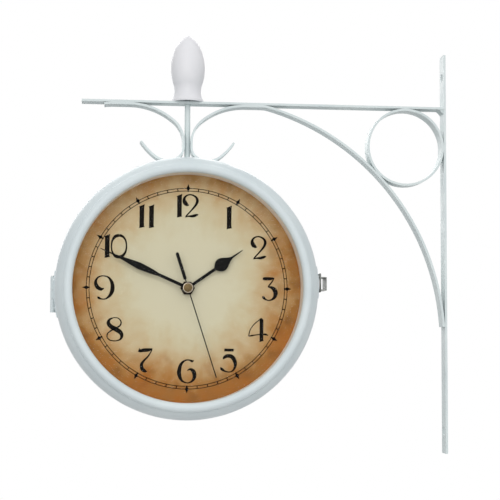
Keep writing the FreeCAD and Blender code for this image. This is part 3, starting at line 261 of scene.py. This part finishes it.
def aged_reach(shade, flat):
    """Distance from the axis in dial radii, made uneven by clouds and mottles, and tilted so the tones are
    lighter at the top, as painted light against the bezel's shade, and darker at the bottom.
    """
    cloud = shade.noise(2.3, detail=5.0, roughness=0.6, place=flat)
    mottle = shade.noise(9.0, detail=4.0, roughness=0.6, place=flat)
    reach = shade.vector("LENGTH", flat)
    for noise, shift in ((cloud, CLOUD_SHIFT_SHARE), (mottle, MOTTLE_SHIFT_SHARE)):
        reach = shade.maths("ADD", reach, shade.spread(noise, -shift, shift, from_low=0.25, from_high=0.75))
    # Painted light: the tilt lightens the top of the dial against the bezel's shade, and darkens the bottom.
    return shade.maths("ADD", reach, shade.vector("DOT_PRODUCT", flat, PAINTED_LIGHT_TILT_SHARES))


def rim_stains(shade, flat):
    """Scorched blotches, damp stains and the browner bottom, each as its strength and its tone."""
    scorch = shade.noise(4.2, detail=5.0, roughness=0.6, place=flat)
    damp = shade.noise(6.5, detail=4.0, place=shade.vector("ADD", flat, STAIN_SHIFT))
    below = shade.vector("DOT_PRODUCT", flat, (0.0, 0.0, -1.0))
    return [
        (shade.spread(scorch, 0.0, 0.7, from_low=0.46, from_high=0.68), srgb(180, 106, 36)),
        (shade.spread(damp, 0.0, 0.65, from_low=0.5, from_high=0.72), srgb(116, 84, 46)),
        (shade.spread(below, 0.0, 0.4, from_low=BOTTOM_START_SHARE, from_high=1.0), srgb(138, 84, 30)),
    ]


def aged_dial():
    """Parchment print: pale greenish middle, tan and stained towards the rim, with plain card behind."""
    shade = Shade("dial_parchment")
    flat = shade.from_axis(DIAL_RADIUS)
    reach = aged_reach(shade, flat)
    tone = shade.ramp(reach, [
        (0.00, srgb(216, 210, 182)),
        (0.42, srgb(214, 207, 177)),
        (0.57, srgb(209, 197, 162)),
        (0.68, srgb(204, 184, 145)),
        (0.78, srgb(196, 167, 124)),
        (0.87, srgb(188, 151, 101)),
        (0.95, srgb(179, 135, 80)),
        (1.00, srgb(166, 116, 60)),
    ])
    rimward = shade.spread(reach, 0.0, 1.0, from_low=RIM_START_SHARE, from_high=1.0)
    for strength, stain in rim_stains(shade, flat):
        tone = shade.blend(shade.maths("MULTIPLY", strength, rimward), tone, stain)
    card_noise = shade.noise(60.0, detail=4.0)
    card = shade.ramp(card_noise, [(0.3, srgb(198, 190, 172)), (0.7, srgb(214, 207, 190))])
    depth = shade.maths("ABSOLUTE", shade.vector("DOT_PRODUCT", shade.place, (0.0, 1 / MM, 0.0)))
    face = DIAL_DEPTH / MM
    printed = shade.spread(depth, 0.0, 1.0, from_low=face - DIAL_FACE, from_high=face - DIAL_FACE / 2)
    shade.link(shade.blend(printed, card, tone), "Base Color")
    fibre = shade.noise(900.0, detail=3.0)
    shade.link(shade.spread(fibre, 0.55, 0.75), "Roughness")
    shade.put(Specular_IOR_Level=0.1)
    shade.bump(fibre, strength=0.08, distance=FIBRE_HEIGHT)
    return shade.material


def seconds_finish():
    """Black needle and counterweight, with a bronze cap ringed by a painted highlight at its edge."""
    shade = Shade("seconds_hand_black_and_bronze")
    distance = shade.vector("LENGTH", shade.from_axis(MM))
    wear = shade.noise(700.0, detail=4.0)
    black = shade.ramp(wear, [(0.3, srgb(9, 9, 10)), (0.75, srgb(20, 19, 19))])
    bronze = shade.ramp(wear, [(0.3, srgb(74, 61, 40)), (0.7, srgb(104, 88, 60))])
    rim = shade.spread(distance, 0.0, 1.0, *CAP_BRONZE_EDGE)
    edge = shade.spread(distance, 0.0, 1.0, *CAP_HIGHLIGHT_EDGE)
    # Painted highlight: the pale ring round the bronze stands in for light caught by the cap's edge.
    cap = shade.blend(rim, bronze, srgb(176, 164, 146))
    shade.link(shade.blend(edge, cap, black), "Base Color")
    shade.link(shade.spread(edge, 0.9, 0.0, from_low=0.0, from_high=1.0), "Metallic")
    shade.link(shade.spread(wear, 0.32, 0.5), "Roughness")
    shade.put(Specular_IOR_Level=0.05)
    shade.bump(wear, strength=0.06, distance=CAP_GRAIN_HEIGHT)
    return shade.material


def clear_glass():
    """Flat clock glass: clear, with faint wiping marks in its gloss."""
    shade = Shade("clock_glass_clear")
    wipes = shade.noise(35.0, detail=5.0)
    shade.link(shade.spread(wipes, 0.02, 0.09), "Roughness")
    shade.put(Base_Color=srgb(64, 70, 68), Alpha=0.02, IOR=1.45)
    return shade.material


def printed_black():
    """Black printing ink that thins here and there."""
    shade = Shade("dial_ink")
    thin = shade.noise(420.0, detail=5.0)
    shade.link(shade.ramp(thin, [(0.35, srgb(10, 7, 5)), (0.8, srgb(26, 19, 12))]), "Base Color")
    shade.link(shade.spread(thin, 0.6, 0.8), "Roughness")
    shade.put(Specular_IOR_Level=0.05)
    return shade.material


def lacquered():
    """Black lacquer on the hour and minute hands, with a little dust."""
    shade = Shade("hand_lacquer")
    dust = shade.noise(180.0, detail=5.0)
    shade.link(shade.ramp(dust, [(0.35, srgb(7, 7, 7)), (0.75, srgb(16, 15, 14))]), "Base Color")
    shade.link(shade.spread(dust, 0.4, 0.55), "Roughness")
    shade.put(Specular_IOR_Level=0.05)
    shade.bump(shade.noise(1600.0, detail=2.0), strength=0.2, distance=GRAIN_HEIGHT)
    return shade.material


MATERIALS = {
    "painted_iron": painted("bracket_paint", srgb(212, 221, 221), srgb(202, 212, 213), 0.45, 700.0),
    "case_paint": painted("case_paint_sprayed", srgb(212, 221, 223), srgb(203, 213, 216), 0.40, 900.0),
    "plated_steel": metal("zinc_plate", srgb(194, 198, 198), srgb(174, 178, 178), 0.34, 1500.0),
    "clock_glass": clear_glass(),
    "spacer_cream": moulded("spacer_ivory", srgb(243, 237, 227), srgb(230, 222, 210), 0.5, 1400.0),
    "dial_print": aged_dial(),
    "hand_black": lacquered(),
    "movement_plastic": moulded("movement_moulding", srgb(26, 27, 28), srgb(58, 58, 58), 0.5, 1800.0),
    "knob_plastic": moulded("setting_knob_moulding", srgb(222, 214, 190), srgb(190, 180, 156), 0.4, 1500.0),
    "cell_wrap": moulded("cell_sleeve", srgb(44, 50, 58), srgb(74, 80, 88), 0.35, 1500.0),
    "bush_brass": metal("turned_brass", srgb(200, 164, 92), srgb(160, 124, 62), 0.3, 2200.0),
    "washer_rubber": moulded("washer_black_rubber", srgb(24, 24, 24), srgb(44, 44, 43), 0.7, 1200.0),
}


def dress_nodes():
    """Every solid gets the finish of its slot, but for a few pieces that differ from the rest of theirs."""
    slots = {item["node"]: item["material_slot"] for item in frame["record"]["subparts"]}
    seconds = seconds_finish()
    blackened = metal("bush_nut_blackened", srgb(46, 38, 28), srgb(24, 20, 16), 0.45, 2200.0)
    dull_steel = metal("clasp_steel_dull", srgb(150, 152, 148), srgb(84, 86, 83), 0.42, 1500.0)
    apart = {
        "finial": painted("finial_paint", srgb(227, 227, 230), srgb(219, 220, 224), 0.4, 700.0),
        "clasp_lever": dull_steel,
        "clasp_bail": dull_steel,
    }
    for side in ("front", "rear"):
        apart[f"{side}_second_hand"] = seconds
        apart[f"{side}_bush_nut"] = blackened
    for name, node in frame["nodes"].items():
        node.data.materials.clear()
        node.data.materials.append(apart.get(name) or MATERIALS[slots[name]])


# Dial print, drawn flat with x to the right and y up as the reader sees it

class Print:
    """Flat printed faces, gathered as points and the faces between them."""

    def __init__(self):
        self.points = []
        self.faces = []

    def polygon(self, corners):
        first = len(self.points)
        self.points.extend(corners)
        self.faces.append(tuple(range(first, first + len(corners))))

    def ring(self, radius, line):
        inner = radius - line / 2
        outer = radius + line / 2
        for step in range(RING_STEPS):
            start = math.tau * step / RING_STEPS
            end = math.tau * (step + 1) / RING_STEPS
            spots = ((start, inner), (end, inner), (end, outer), (start, outer))
            self.polygon([(reach * math.sin(turn), reach * math.cos(turn)) for turn, reach in spots])

    def radial(self, turn, outline):
        """An outline given as reach from the centre and offset to the right, turned clockwise."""
        sine = math.sin(turn)
        cosine = math.cos(turn)
        self.polygon([(out * sine + aside * cosine, out * cosine - aside * sine) for out, aside in outline])

    def stroke(self, path, height, centre):
        """A pen stroke through points of (x, y, width), smoothed between them."""
        spots = smooth(path)
        sides = []
        for index, (x, y, width) in enumerate(spots):
            before = spots[max(index - 1, 0)]
            after = spots[min(index + 1, len(spots) - 1)]
            run = Vector((after[0] - before[0], after[1] - before[1])).normalized()
            aside = Vector((-run.y, run.x)) * width * STROKE_WEIGHT_SHARE / 2
            sides.append(((x + aside.x, y + aside.y), (x - aside.x, y - aside.y)))
        for (first, second), (third, fourth) in zip(sides, sides[1:]):
            self.polygon([scaled(point, height, centre) for point in (first, second, fourth, third)])

    def shape(self, corners, height, centre):
        self.polygon([scaled(point, height, centre) for point in corners])


def scaled(point, height, centre):
    """A point of a figure one unit tall, at the figure's height about its centre."""
    return (centre[0] + point[0] * height, centre[1] + (point[1] - 0.5) * height)


def smooth(path):
    """Points along a curve through the given ones, with their widths."""
    knots = [path[0], *path, path[-1]]
    spots = []
    for first, second, third, fourth in zip(knots, knots[1:], knots[2:], knots[3:]):
        for step in range(STROKE_STEPS):
            t = step / STROKE_STEPS
            spots.append(tuple(
                0.5 * (2 * b + (c - a) * t + (2 * a - 5 * b + 4 * c - d) * t ** 2
                       + (3 * b - a - 3 * c + d) * t ** 3)
                for a, b, c, d in zip(first, second, third, fourth)
            ))
    spots.append(path[-1])
    return spots


# Broad-nib figures one unit tall, each a list of pen strokes of (x, y, width) or a filled outline
ONE = [[(-0.125, 0.90), (0.12, 1.0), (0.10, 0.9), (0.095, 0.1), (0.125, 0.05), (-0.105, 0.0), (-0.095, 0.09),
        (-0.095, 0.85)]]
FOUR_STEM = [[(0.04, 0.98), (0.12, 1.0), (0.20, 0.93), (0.195, 0.1), (0.215, 0.05), (0.03, 0.0),
              (0.04, 0.08)]]
FIVE_BAR = [[(-0.18, 0.865), (0.21, 0.86), (0.23, 0.975), (-0.17, 0.985)]]
SHAPES = {"1": ONE, "4": FOUR_STEM, "5": FIVE_BAR}
STROKES = {
    "0": [[
        (0.02, 0.95, 0.10), (-0.15, 0.90, 0.11), (-0.27, 0.74, 0.07), (-0.31, 0.50, 0.05),
        (-0.27, 0.25, 0.06), (-0.15, 0.09, 0.10), (0.0, 0.05, 0.11), (0.15, 0.10, 0.10),
        (0.27, 0.26, 0.07), (0.31, 0.50, 0.055), (0.27, 0.74, 0.06), (0.16, 0.89, 0.08), (0.02, 0.95, 0.10),
    ]],
    "2": [
        [
            (-0.08, 0.53, 0.02), (-0.16, 0.545, 0.11), (-0.25, 0.63, 0.15), (-0.285, 0.78, 0.10),
            (-0.19, 0.92, 0.06), (0.0, 0.966, 0.05), (0.20, 0.87, 0.075), (0.265, 0.71, 0.10),
            (0.19, 0.52, 0.08), (0.0, 0.29, 0.05), (-0.17, 0.10, 0.05), (-0.225, 0.03, 0.03),
        ],
        [
            (-0.245, 0.012, 0.015), (-0.09, 0.06, 0.055), (0.08, 0.07, 0.10), (0.22, 0.115, 0.09),
            (0.31, 0.145, 0.02),
        ],
    ],
    "3": [
        [
            (-0.30, 0.90, 0.04), (-0.24, 0.92, 0.11), (-0.10, 0.925, 0.12), (0.06, 0.93, 0.10),
            (0.19, 0.965, 0.02),
        ],
        [(0.18, 0.955, 0.03), (0.10, 0.81, 0.045), (0.01, 0.69, 0.05), (-0.075, 0.585, 0.035)],
        [
            (-0.08, 0.575, 0.03), (0.05, 0.565, 0.09), (0.17, 0.49, 0.14), (0.245, 0.34, 0.16),
            (0.21, 0.17, 0.12), (0.10, 0.06, 0.07), (-0.05, 0.02, 0.04), (-0.18, 0.06, 0.06),
            (-0.265, 0.14, 0.09), (-0.31, 0.19, 0.02),
        ],
    ],
    "4": [
        [
            (0.12, 0.98, 0.03), (-0.02, 0.885, 0.035), (-0.17, 0.76, 0.035), (-0.30, 0.60, 0.03),
            (-0.38, 0.44, 0.035), (-0.415, 0.255, 0.035),
        ],
        [
            (-0.43, 0.245, 0.03), (-0.30, 0.265, 0.055), (-0.15, 0.29, 0.04), (0.0, 0.31, 0.04),
            (0.16, 0.32, 0.045), (0.29, 0.315, 0.07), (0.41, 0.27, 0.02),
        ],
    ],
    "5": [[
        (-0.215, 0.54, 0.03), (-0.17, 0.615, 0.10), (-0.04, 0.68, 0.125), (0.15, 0.64, 0.14),
        (0.265, 0.46, 0.14), (0.285, 0.27, 0.10), (0.20, 0.085, 0.06), (0.04, 0.015, 0.04),
        (-0.15, 0.05, 0.06), (-0.28, 0.14, 0.10), (-0.335, 0.205, 0.02),
    ]],
    "6": [[
        (0.285, 0.955, 0.02), (0.21, 0.92, 0.085), (0.09, 0.965, 0.05), (-0.08, 0.945, 0.055),
        (-0.24, 0.80, 0.10), (-0.315, 0.56, 0.14), (-0.315, 0.36, 0.14), (-0.21, 0.12, 0.08),
        (0.02, 0.02, 0.04), (0.23, 0.11, 0.08), (0.315, 0.29, 0.13), (0.275, 0.49, 0.14),
        (0.14, 0.585, 0.08), (0.01, 0.53, 0.02),
    ]],
    "7": [
        [
            (-0.275, 0.83, 0.02), (-0.25, 0.86, 0.09), (-0.09, 0.90, 0.125), (0.11, 0.915, 0.12),
            (0.29, 0.95, 0.06),
        ],
        [(-0.235, 0.995, 0.02), (-0.255, 0.90, 0.045)],
        [
            (0.265, 0.90, 0.03), (0.12, 0.66, 0.055), (-0.05, 0.48, 0.075), (-0.15, 0.32, 0.11),
            (-0.13, 0.15, 0.13), (-0.03, 0.055, 0.12), (0.075, 0.02, 0.03),
        ],
    ],
    "8": [
        [
            (-0.06, 0.977, 0.033), (-0.22, 0.90, 0.08), (-0.27, 0.754, 0.13), (-0.16, 0.61, 0.15),
            (0.03, 0.505, 0.16), (0.22, 0.38, 0.15), (0.285, 0.23, 0.115), (0.22, 0.085, 0.06),
            (0.03, 0.018, 0.035),
        ],
        [
            (-0.06, 0.977, 0.033), (0.12, 0.96, 0.035), (0.24, 0.84, 0.045), (0.23, 0.69, 0.05),
            (0.10, 0.575, 0.06), (-0.13, 0.46, 0.05), (-0.29, 0.33, 0.045), (-0.315, 0.18, 0.04),
            (-0.19, 0.05, 0.04), (0.03, 0.018, 0.035),
        ],
    ],
    "9": [[
        (0.0, 0.475, 0.02), (-0.12, 0.43, 0.11), (-0.265, 0.505, 0.135), (-0.345, 0.66, 0.12),
        (-0.33, 0.81, 0.08), (-0.23, 0.93, 0.05), (-0.05, 0.98, 0.04), (0.16, 0.925, 0.06),
        (0.30, 0.75, 0.11), (0.345, 0.55, 0.14), (0.325, 0.35, 0.14), (0.235, 0.17, 0.10),
        (0.07, 0.035, 0.05), (-0.10, 0.025, 0.045), (-0.215, 0.07, 0.09), (-0.275, 0.12, 0.02),
    ]],
}
# The figures of each hour, with their shift to the right in heights
NUMERALS = {hour: [(str(hour), 0.0)] for hour in range(1, 10)}
NUMERALS[10] = [("1", -0.355), ("0", 0.13)]
NUMERALS[11] = [("1", -0.2), ("1", 0.2)]
NUMERALS[12] = [("1", -0.36), ("2", 0.12)]


def minute_tick(page, turn):
    """A line across the minute track."""
    low, high = TRACK_RADII
    half = TICK_LINE / 2
    page.radial(turn, [(low, -half), (low, half), (high, half), (high, -half)])


def hour_mark(page, turn):
    """A spearhead: a narrow foot across the track, widest on its outer line, with the tip outside."""
    low, high = TRACK_RADII
    root = low - MARK_ROOT
    neck = high - MARK_HALF_WIDTH
    foot = MARK_HALF_WIDTH * MARK_FOOT_SHARE
    shoulder = MARK_HALF_WIDTH * MARK_SHOULDER_SHARE
    tip_side = high + MARK_TIP * MARK_FOOT_SHARE
    page.radial(turn, [
        (root, -foot), (root, foot), (neck, foot), (high, MARK_HALF_WIDTH), (tip_side, shoulder),
        (high + MARK_TIP, 0), (tip_side, -shoulder), (high, -MARK_HALF_WIDTH), (neck, -foot),
    ])


def draw_numeral(page, hour):
    """The figures of an hour, upright, at its place on the dial."""
    turn = math.tau * hour / 12
    for figure, shift in NUMERALS[hour]:
        centre = (
            NUMERAL_RADIUS * math.sin(turn) + shift * NUMERAL_HEIGHT,
            NUMERAL_RADIUS * math.cos(turn),
        )
        for corners in SHAPES.get(figure, []):
            page.shape(corners, NUMERAL_HEIGHT, centre)
        for path in STROKES.get(figure, []):
            page.stroke(path, NUMERAL_HEIGHT, centre)


def draw_dial():
    """The print that both dials carry."""
    page = Print()
    for radius in TRACK_RADII:
        page.ring(radius, TRACK_LINE)
    for minute in range(60):
        draw = minute_tick if minute % 5 else hour_mark
        draw(page, math.tau * minute / 60)
    for hour in NUMERALS:
        draw_numeral(page, hour)
    return page


def print_dial(name, body, facing, page, ink):
    """Lay the print on a dial; facing is -1 for the front, which looks along -Y, and 1 for the rear."""
    depth = (DIAL_DEPTH + PRINT_LIFT) * facing
    points = [(AXIS.x - x * facing, depth, AXIS.z + y) for x, y in page.points]
    mesh = bpy.data.meshes.new(name)
    mesh.from_pydata(points, [], page.faces)
    work = bmesh.new()
    work.from_mesh(mesh)
    for face in work.faces:
        face.normal_update()
        if face.normal.y * facing < 0:
            face.normal_flip()
    work.to_mesh(mesh)
    work.free()
    mesh.materials.append(ink)
    item = bpy.data.objects.new(name, mesh)
    bpy.context.collection.objects.link(item)
    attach(item, body)


# Light, floor and camera

def lamp(name, place, power, side):
    """A square soft lamp that looks at the clock's axis."""
    data = bpy.data.lights.new(name, "AREA")
    data.energy = power
    data.size = side
    item = bpy.data.objects.new(name, data)
    item.location = place
    item.rotation_euler = (AXIS - Vector(place)).to_track_quat("-Z", "Y").to_euler()
    bpy.context.collection.objects.link(item)


def light_scene():
    """A room that is brighter above than below, white where it is seen or mirrored, and three lamps."""
    world = bpy.data.worlds.new("studio")
    bpy.context.scene.world = world
    world.use_nodes = True
    nodes = world.node_tree.nodes
    links = world.node_tree.links
    room = nodes["Background"]
    room.inputs["Color"].default_value = WHITE
    sight = nodes.new("ShaderNodeTexCoord")
    upward = nodes.new("ShaderNodeSeparateXYZ")
    links.new(sight.outputs["Generated"], upward.inputs["Vector"])
    sky = nodes.new("ShaderNodeMapRange")
    for name, value in zip(("From Min", "From Max", "To Min", "To Max"), (-1.0, 1.0, *ROOM_LIGHT)):
        sky.inputs[name].default_value = value
    links.new(upward.outputs["Z"], sky.inputs["Value"])
    links.new(sky.outputs["Result"], room.inputs["Strength"])
    seen = nodes.new("ShaderNodeBackground")
    seen.inputs["Color"].default_value = WHITE
    seen.inputs["Strength"].default_value = 1.0
    path = nodes.new("ShaderNodeLightPath")
    mix = nodes.new("ShaderNodeMixShader")
    shown = path.outputs["Is Camera Ray"]
    for ray in ("Is Glossy Ray", "Is Transmission Ray"):
        either = nodes.new("ShaderNodeMath")
        either.operation = "MAXIMUM"
        links.new(shown, either.inputs[0])
        links.new(path.outputs[ray], either.inputs[1])
        shown = either.outputs["Value"]
    links.new(shown, mix.inputs["Fac"])
    links.new(room.outputs["Background"], mix.inputs[1])
    links.new(seen.outputs["Background"], mix.inputs[2])
    links.new(mix.outputs["Shader"], nodes["World Output"].inputs["Surface"])
    for name, (place, power, side) in LAMPS.items():
        lamp(name, place, power, side)


def lay_floor():
    """A plain pale square, with a slight drift of tone."""
    signs = ((-1, -1), (1, -1), (1, 1), (-1, 1))
    corners = [(x * FLOOR_HALF_SIDE, y * FLOOR_HALF_SIDE, FLOOR_LEVEL) for x, y in signs]
    mesh = bpy.data.meshes.new("floor")
    mesh.from_pydata(corners, [], [(0, 1, 2, 3)])
    shade = Shade("floor_pale")
    drift = shade.noise(1.5, detail=2.0)
    shade.link(shade.ramp(drift, [(0.3, srgb(244, 244, 243)), (0.7, srgb(248, 248, 248))]), "Base Color")
    shade.put(Roughness=0.8)
    mesh.materials.append(shade.material)
    item = bpy.data.objects.new("floor", mesh)
    bpy.context.collection.objects.link(item)


def set_camera():
    """The photograph's viewpoint: yaw about Z, pitch upwards, and roll about the line of sight."""
    data = bpy.data.cameras.new("camera")
    data.sensor_fit = "HORIZONTAL"
    data.sensor_width = SENSOR
    data.lens = SENSOR * FOCAL_PIXELS / PICTURE_SIDE
    data.shift_x = -CENTRE_SHIFT_PIXELS[0] / PICTURE_SIDE
    data.shift_y = CENTRE_SHIFT_PIXELS[1] / PICTURE_SIDE
    item = bpy.data.objects.new("camera", data)
    turn = (
        Matrix.Rotation(math.radians(CAMERA_YAW), 4, "Z")
        @ Matrix.Rotation(math.radians(CAMERA_PITCH), 4, "X")
        @ Matrix.Rotation(math.radians(CAMERA_ROLL), 4, "Y")
        @ Matrix.Rotation(math.radians(90), 4, "X")
    )
    item.matrix_world = Matrix.Translation(CAMERA_PLACE) @ turn
    bpy.context.collection.objects.link(item)
    bpy.context.scene.camera = item
    bpy.context.scene.view_settings.view_transform = "Standard"


dress_nodes()
dial_page = draw_dial()
dial_ink = printed_black()
print_dial("front_dial_print", "front_door", -1, dial_page, dial_ink)
print_dial("rear_dial_print", "bracket_and_case", 1, dial_page, dial_ink)
light_scene()
lay_floor()
set_camera()
